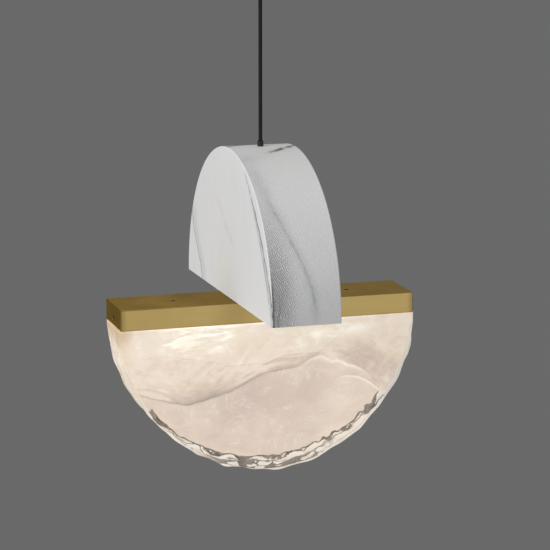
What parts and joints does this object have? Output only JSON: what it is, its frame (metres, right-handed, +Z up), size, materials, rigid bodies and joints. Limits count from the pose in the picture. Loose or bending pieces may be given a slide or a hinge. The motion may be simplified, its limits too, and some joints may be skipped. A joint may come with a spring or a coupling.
{
  "type": "pendant light",
  "caption": "Cord-hung pendant light with a marbled half-disc block set crosswise on a brass bar, over a glowing cast-glass half disc.",
  "frame": {"origin": "centre of the ceiling plate's top face, on the ceiling, midway between the two ceiling screws", "axes": "+Z up towards the ceiling, +X along the brass bar to its right end as the picture shows it, +Y away from the picture's viewer along the block"},
  "size_m": [0.3047, 0.297, 0.5298],
  "materials": {
    "marbled_stone": "white with grey veins, matt, fine pressed texture on the curved rim",
    "brushed_brass": "lengthwise brushed",
    "turned_brass": "turned",
    "brass_screw": "satin",
    "cast_glass": "cloudy cast glass, hammered clear rim",
    "braided_cord": "black braid",
    "black_metal": "satin black",
    "black_rubber": "matt",
    "zinc_steel": "zinc plated",
    "steel_screw": "zinc plated",
    "aluminium": "mill finish",
    "white_plastic": "moulded",
    "nylon": "moulded",
    "white_board": "solder mask",
    "led_phosphor": "phosphor",
    "thermal_pad": "matt",
    "clear_silicone": "cured bead",
    "grey_felt": "felt",
    "black_wire": "insulation",
    "red_wire": "insulation",
    "white_wire": "insulation",
    "earth_wire": "insulation"
  },
  "bodies": {
    "canopy": {"ceiling_plate": "zinc_steel", "canopy_cover": "brushed_brass", "canopy_side_screws": "brass_screw", "driver_case": "white_plastic", "driver_screws": "steel_screw", "terminal_block": "nylon", "terminal_screws": "steel_screw", "terminal_fixing_screw": "steel_screw", "earth_screw": "brass_screw", "mains_leads": "black_wire", "earth_lead": "earth_wire", "output_leads": "red_wire", "grip_body": "turned_brass", "grip_locknut": "turned_brass", "grip_bush": "black_rubber", "grip_nut": "turned_brass", "cord_tail": "braided_cord"},
    "neck": {"cord_neck": "braided_cord"},
    "hanging_cord": {"cord": "braided_cord"},
    "lamp": {"cord_ferrule": "black_metal", "inner_cord": "braided_cord", "cord_anchor": "turned_brass", "anchor_grub_screws": "steel_screw", "hanger_stem": "zinc_steel", "stem_nuts": "steel_screw", "stem_washers": "steel_screw", "stem_leads": "red_wire", "block_shell": "marbled_stone", "block_base_plate": "zinc_steel", "base_plate_screws": "steel_screw", "felt_pad": "grey_felt", "bar_housing": "brushed_brass", "bar_top_screws": "brass_screw", "bar_end_screws": "brass_screw", "glass_tray": "aluminium", "thermal_pads": "thermal_pad", "led_boards": "white_board", "led_chips": "led_phosphor", "board_screws": "steel_screw", "board_link_wire": "white_wire", "glass_bond": "clear_silicone", "glass_diffuser": "cast_glass"}
  },
  "joints": [
    {"name": "swing_front_back", "type": "hinge", "parent": "canopy", "child": "neck", "pos_m": [0, 0, -0.042], "axis": [1, 0, 0], "range_deg": [-15, 15]},
    {"name": "swing_side_to_side", "type": "hinge", "parent": "neck", "child": "hanging_cord", "pos_m": [0, 0, -0.05], "axis": [0, 1, 0], "range_deg": [-15, 15]},
    {"name": "cord_twist", "type": "hinge", "parent": "hanging_cord", "child": "lamp", "pos_m": [0, 0, -0.2], "axis": [0, 0, 1], "range_deg": [-90, 90]}
  ]
}
